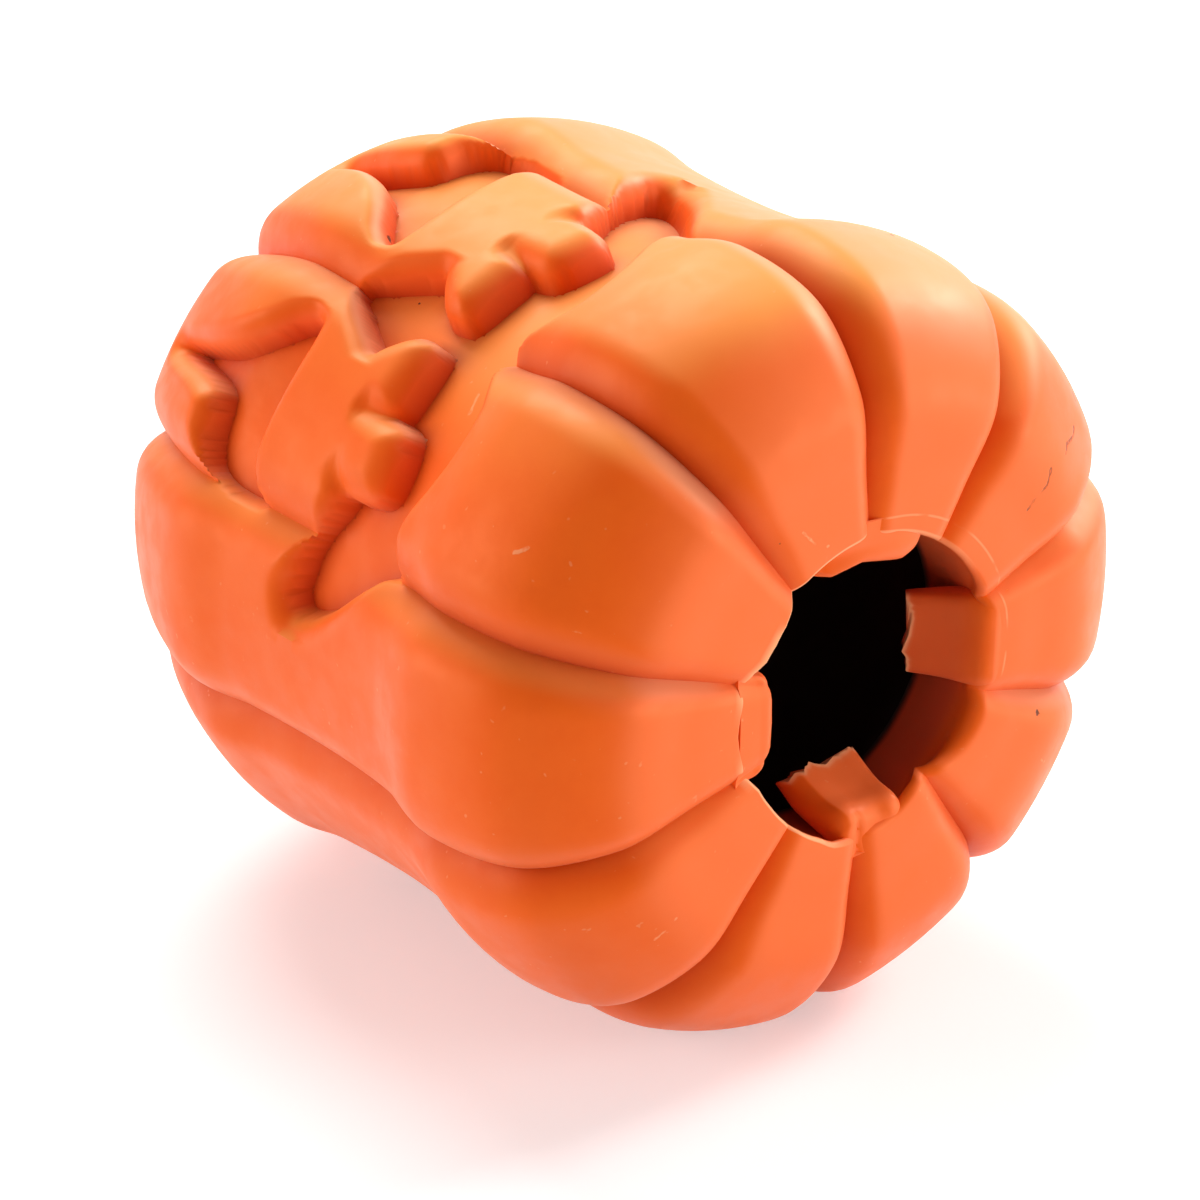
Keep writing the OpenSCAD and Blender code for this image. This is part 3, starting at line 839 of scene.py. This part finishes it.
def noise(tree, vector, scale, detail=2.0, roughness=0.5):
    """A noise pattern on a vector"""
    values = {"Vector": vector, "Scale": scale, "Detail": detail, "Roughness": roughness}
    return new_node(tree, "TexNoise", values).outputs["Fac"]


def blend_colour(tree, share, a, b, mode="MIX"):
    """Mixes two colours, each a socket or a plain colour"""
    a, b = (end if isinstance(end, bpy.types.NodeSocket) else (*end, 1) for end in (a, b))
    values = {"Factor": share, 6: a, 7: b}
    return new_node(tree, "Mix", values, data_type="RGBA", blend_type=mode).outputs[2]


def mark_group(name, inputs):
    """An empty node group that turns a place and some values into a mask: the group, its inputs'
    sockets and its output's"""
    group = bpy.data.node_groups.new(name, "ShaderNodeTree")
    for socket, default in {"Place": (0, 0, 0), **inputs}.items():
        kind = "NodeSocketVector" if isinstance(default, tuple) else "NodeSocketFloat"
        group.interface.new_socket(socket, in_out="INPUT", socket_type=kind).default_value = default
    group.interface.new_socket("Mask", in_out="OUTPUT", socket_type="NodeSocketFloat")
    given = group.nodes.new("NodeGroupInput").outputs
    return group, given, group.nodes.new("NodeGroupOutput").inputs["Mask"]


def speck_group():
    """A ragged spot round a centre"""
    group, given, mask = mark_group("speck", {"Centre": (0, 0, 0), "Radius": 0.0004})
    distance = vector_maths(group, "DISTANCE", given["Place"], given["Centre"])
    ragged = ramp(group, noise(group, given["Place"], 2600, 2), 0.25, 0.75, 0.55, 1.25)
    share = maths(group, "DIVIDE", distance, times(group, given["Radius"], ragged))
    feed(group, mask, ramp(group, share, 1.15, 0.55))
    return group


def scratch_group():
    """A fine line from one place to another that wavers and fades"""
    group, given, mask = mark_group(
        "scratch", {"Start": (0, 0, 0), "End": (0, 0, 0), "Width": 0.0002})
    reach = vector_maths(group, "SUBTRACT", given["End"], given["Start"])
    here = vector_maths(group, "SUBTRACT", given["Place"], given["Start"])
    along = maths(group, "DIVIDE", vector_maths(group, "DOT_PRODUCT", here, reach),
                  vector_maths(group, "DOT_PRODUCT", reach, reach), clamp=True)
    foot = new_node(group, "VectorMath", {0: reach, "Scale": along}, operation="SCALE")
    away = vector_maths(group, "SUBTRACT", here, foot.outputs["Vector"])
    off = vector_maths(group, "LENGTH", away)
    uneven = maths(group, "SUBTRACT", noise(group, given["Place"], 900, 2), 0.5)
    waver = times(group, uneven, 0.0007)
    off = maths(group, "ABSOLUTE", maths(group, "ADD", off, waver))
    line = ramp(group, maths(group, "DIVIDE", off, given["Width"]), 1.3, 0.3)
    fade = ramp(group, noise(group, given["Place"], 1500, 1), 0.3, 0.55, 0.25, 1.0)
    feed(group, mask, times(group, line, fade))
    return group


def on_frame(across, behind, above):
    """A mark's place in metres from its place across, behind the rim and above the axis"""
    return (across * MM, (rim_y() + behind) * MM, (AXIS_Z + above) * MM)


def marks(tree, group, place, values):
    """All the marks of a kind, each with its own values, as one mask"""
    masks = [new_node(tree, "Group", {"Place": place, **own}, node_tree=group).outputs["Mask"]
             for own in values]
    return maths(tree, "MAXIMUM", *masks)


def line_values(lines):
    """The scratch group's values for each line of a list"""
    return [{"Start": on_frame(*line[:3]), "End": on_frame(*line[3:6]), "Width": line[6] * MM}
            for line in lines]


def feed_shader(tree, values):
    """Feeds the inputs of a material's shader by name"""
    for name, value in values.items():
        feed(tree, tree.nodes["Principled BSDF"].inputs[name], value)


def rubber_material():
    """Matte orange rubber with painted light on its upper side, a painted highlight on its upper
    right, painted sheen and dust on its front and underside, painted shade and dirt in its creases,
    painted shade inside the neck, a painted highlight along the rim's thin edge, pale torn tips,
    specks, scuffs, cracks and the mould's witness line"""
    existing = bpy.data.materials.get("moulded_rubber")
    if existing:
        return existing
    look = bpy.context.scene.toy_rubber
    material = bpy.data.materials.new("moulded_rubber")
    material.use_nodes = True
    tree = material.node_tree
    place = new_node(tree, "TexCoord").outputs["Object"]
    mark = vector_maths(tree, "SUBTRACT", place, on_frame(0, 0, 0))
    across, behind, above = new_node(tree, "SeparateXYZ", {0: mark}).outputs
    normal = new_node(tree, "NewGeometry").outputs["Normal"]
    facing = new_node(tree, "SeparateXYZ", {0: normal}).outputs
    fringe, crease, soiled = (new_node(tree, "Attribute", attribute_name=name).outputs["Fac"]
                              for name in ("fringe", "crease", "soiled"))

    # The rubber, its mottles, and the painted sheen and dust on its front and underside
    broad = noise(tree, place, 36, 3)
    mottled = noise(tree, place, 130, 4, 0.6)
    lift = times(tree, maths(tree, "SUBTRACT", broad, 0.5), 0.35)
    up = maths(tree, "ADD", facing["Z"], lift)
    side = maths(tree, "ADD", facing["X"], times(tree, lift, 0.5))
    painted_sheen_and_dust = maths(tree, "MAXIMUM", ramp(tree, side, -0.5, -0.08), ramp(tree, up, 0.05, -0.6),
                 ramp(tree, side, -0.85, -1.05, 0, 0.2))
    colour = blend_colour(tree, ramp(tree, mottled, 0.25, 0.75), look.orange, look.deep)

    # Painted light on the upper side, and a painted highlight on the upper right side, only outside
    # the mouth's lip
    above_2 = times(tree, above, above)
    radial = maths(tree, "SQRT", maths(tree, "ADD", times(tree, across, across), above_2))
    outside = ramp(tree, radial, 0.0185, 0.0225)
    top_light = times(tree, ramp(tree, up, 0.52, 0.98),
                  ramp(tree, across, -0.036, -0.004, 0.62, 1), outside)
    highlight_mask = times(tree, ramp(tree, up, 0.35, 0.8),
                 ramp(tree, side, -0.12, 0.3, 0, look.highlight_share), outside)
    # The painted shade inside, made uneven by the broad noise
    uneven = maths(tree, "ADD", soiled, times(tree, lift, soiled))

    # The witness line of the mould's core, a little off the centre of the mouth
    off_centre = maths(tree, "POWER", maths(tree, "SUBTRACT", across, 0.0008), 2.0)
    ring = maths(tree, "SQRT", maths(tree, "ADD", off_centre, above_2))
    ring = maths(tree, "ABSOLUTE", maths(tree, "SUBTRACT", ring, 0.0192))
    ring = times(tree, ramp(tree, ring, 0.00020, 0.00004), ramp(tree, behind, -0.0012, -0.0018),
                 ramp(tree, across, -0.001, 0.001), ramp(tree, above, -0.0045, -0.003),
                 ramp(tree, noise(tree, place, 240, 2), 0.38, 0.5))

    # Scuffs, cracks, specks and lint
    scratch = scratch_group()
    scuffs = marks(tree, scratch, place, line_values(SCRATCHES))
    cracks = marks(tree, scratch, place, line_values(CRACKS))
    specks = marks(tree, speck_group(), place, [
        {"Centre": on_frame(*speck[:3]), "Radius": speck[3] * MM} for speck in SPECKS])
    lint = times(tree, ramp(tree, noise(tree, place, 1100, 1), 0.73, 0.80, 0, 0.3),
                 ramp(tree, soiled, 0.1, 0), ramp(tree, broad, 0.42, 0.62))
    pale = maths(tree, "MAXIMUM", times(tree, scuffs, 0.5), times(tree, ring, 0.35), lint)
    dirt = maths(tree, "MAXIMUM", specks, times(tree, cracks, 0.7))

    # All that is painted over the plain rubber, from the bottom up: painted sheen and dust, painted
    # light, a painted highlight, painted shade and dirt in creases, painted shade inside, the
    # painted rim highlight with the torn tips, pale marks, and dirt
    layers = (
        (painted_sheen_and_dust, look.dust_and_sheen), (top_light, look.painted_top_light), (highlight_mask, look.painted_highlight),
        (times(tree, crease, look.crease_shade_and_dirt), look.shade, "MULTIPLY"),
        (ramp(tree, uneven, 0, 0.6), look.neck), (ramp(tree, uneven, 0.5, 1), look.dark),
        (times(tree, fringe, 0.8), look.pale_marks_and_edge_highlight), (pale, look.pale_marks_and_edge_highlight), (dirt, look.soil))
    for share, *layer in layers:
        colour = blend_colour(tree, share, colour, *layer)

    rough = ramp(tree, noise(tree, place, 260, 4), 0.3, 0.7,
                 look.roughness - 0.05, look.roughness + 0.07)
    height = maths(tree, "ADD", times(tree, noise(tree, place, 1400, 3), 0.12),
                   times(tree, noise(tree, place, 210, 2), 0.5))
    height = maths(tree, "SUBTRACT", height, times(tree, dirt, 1.2))
    height = maths(tree, "ADD", height, times(tree, pale, 0.8))
    bump = new_node(tree, "Bump", {"Distance": 0.0002, "Strength": 0.35, "Height": height})
    feed_shader(tree, {
        "Base Color": colour,
        "Roughness": maths(tree, "ADD", rough, times(tree, scuffs, 0.2)),
        "Normal": bump.outputs["Normal"],
        "Specular IOR Level": 0.5,
        "Specular Tint": (*look.gloss_tint, 1),
        "Sheen Weight": look.sheen,
        "Sheen Roughness": 0.45,
        "Sheen Tint": (1, 0.55, 0.35, 1),
    })
    return material


def visible_rays(tree):
    """1 for rays that show a surface, straight or in a gloss, and 1 for the straight ones alone"""
    path = new_node(tree, "LightPath").outputs
    kinds = [path[name] for name in ("Is Camera Ray", "Is Glossy Ray", "Is Transmission Ray")]
    return maths(tree, "MAXIMUM", *kinds), kinds[0]


FLOOR_GLOW = 0.36  # how far the floor near the toy is lifted towards white in view


def floor_material(colour):
    """Pale floor that renders white to the camera, far off as well, and keeps the shadow"""
    material = bpy.data.materials.new("pale_floor")
    material.use_nodes = True
    tree = material.node_tree
    seen, straight = visible_rays(tree)
    away = vector_maths(tree, "LENGTH", new_node(tree, "TexCoord").outputs["Object"])
    far = ramp(tree, away, 0.35, 1.0, 0, 1 - FLOOR_GLOW)
    feed_shader(tree, {
        "Base Color": (*colour, 1),
        "Roughness": 0.9,
        "Specular IOR Level": 0.1,
        "Emission Color": (1, 1, 1, 1),
        "Emission Strength": maths(
            tree, "ADD", times(tree, seen, FLOOR_GLOW), times(tree, straight, far)),
    })
    return material


LAMPS = {  # place in metres and side of each soft lamp
    "key": ((0.14, 0.52, 0.88), 0.6),
    "right": ((0.82, -0.13, 0.56), 0.32),
    "left": ((-0.86, 0.46, 0.24), 0.6),
    "front": ((0.62, -0.80, 0.16), 0.5),
}


def soft_lamp(name, place, size, power):
    """A square soft lamp that faces the middle of the toy"""
    bpy.ops.object.light_add(type="AREA", location=place)
    lamp = bpy.context.object
    lamp.name = name
    lamp.data.size = size
    lamp.data.energy = power
    way = Vector((0, 0, AXIS_Z * MM)) - Vector(place)
    lamp.rotation_euler = way.to_track_quat("-Z", "Y").to_euler()


class TOY_OT_stage(bpy.types.Operator):
    """Sets the floor, the soft light and the camera"""

    bl_idname = "toy.stage"
    bl_label = "Set the stage"

    def execute(self, context):
        stage = context.scene.toy_stage
        bpy.ops.object.select_all(action="DESELECT")
        bpy.ops.mesh.primitive_plane_add(size=8, location=(0, 0, 0))
        floor = context.object
        floor.name = "floor"
        floor.data.materials.append(floor_material(stage.floor_colour))

        for name, (place, size) in LAMPS.items():
            soft_lamp(name, place, size, getattr(stage, name + "_power"))

        world = bpy.data.worlds.new("studio")
        context.scene.world = world
        world.use_nodes = True
        tree = world.node_tree
        seen, _ = visible_rays(tree)
        level = maths(tree, "ADD", times(tree, seen, 1 - stage.sky_level), stage.sky_level)
        back = tree.nodes["Background"].inputs
        feed(tree, back["Color"], (1, 1, 1, 1))
        feed(tree, back["Strength"], level)

        bpy.ops.object.camera_add()
        camera = context.object
        camera.name = "camera"
        ahead = Vector((math.sin(stage.yaw) * math.cos(stage.pitch),
                        math.cos(stage.yaw) * math.cos(stage.pitch), -math.sin(stage.pitch)))
        level_right = Vector((math.cos(stage.yaw), -math.sin(stage.yaw), 0))
        level_up = level_right.cross(ahead)
        right = level_right * math.cos(stage.roll) + level_up * math.sin(stage.roll)
        up = level_up * math.cos(stage.roll) - level_right * math.sin(stage.roll)
        axes = (right, up, ahead)
        offset = sum((axis * part for axis, part in zip(axes, stage.rim_offset)), Vector())
        place = Vector(on_frame(0, 0, 0)) - offset * context.scene.toy_body.mouth_r * MM
        camera.matrix_world = Matrix((
            (right.x, up.x, -ahead.x, place.x), (right.y, up.y, -ahead.y, place.y),
            (right.z, up.z, -ahead.z, place.z), (0, 0, 0, 1)))
        camera.data.sensor_width = SENSOR_MM
        camera.data.lens = stage.focal_px / FRAME_PX * SENSOR_MM
        camera.data.clip_end = 20
        context.scene.camera = camera
        context.scene.view_settings.view_transform = "Standard"
        return {"FINISHED"}


class TOY_PT_panel(bpy.types.Panel):
    """Lists the toy's pieces and sizes in the sidebar"""

    bl_idname = "TOY_PT_panel"
    bl_label = "Chew Toy"
    bl_space_type = "VIEW_3D"
    bl_region_type = "UI"
    bl_category = "Chew Toy"

    def draw(self, context):
        for operator in OPERATORS:
            self.layout.operator(operator.bl_idname)
        for name in GROUPS:
            settings = getattr(context.scene, name)
            box = self.layout.box()
            for key in settings.__annotations__:
                box.prop(settings, key)


GROUPS = {
    "toy_body": BodySizes,
    "toy_face": FaceSizes,
    "toy_tabs": TabSizes,
    "toy_rubber": RubberLook,
    "toy_stage": StageLook,
}
OPERATORS = (TOY_OT_shell, TOY_OT_tabs, TOY_OT_stage)


def register():
    for name, group in GROUPS.items():
        bpy.utils.register_class(group)
        setattr(bpy.types.Scene, name, bpy.props.PointerProperty(type=group))
    for operator in OPERATORS:
        bpy.utils.register_class(operator)
    bpy.utils.register_class(TOY_PT_panel)


def unregister():
    bpy.utils.unregister_class(TOY_PT_panel)
    for operator in reversed(OPERATORS):
        bpy.utils.unregister_class(operator)
    for name, group in GROUPS.items():
        delattr(bpy.types.Scene, name)
        bpy.utils.unregister_class(group)


def main():
    register()
    bpy.ops.toy.shell()
    bpy.ops.toy.tabs()
    bpy.ops.toy.stage()


if __name__ == "__main__":
    main()
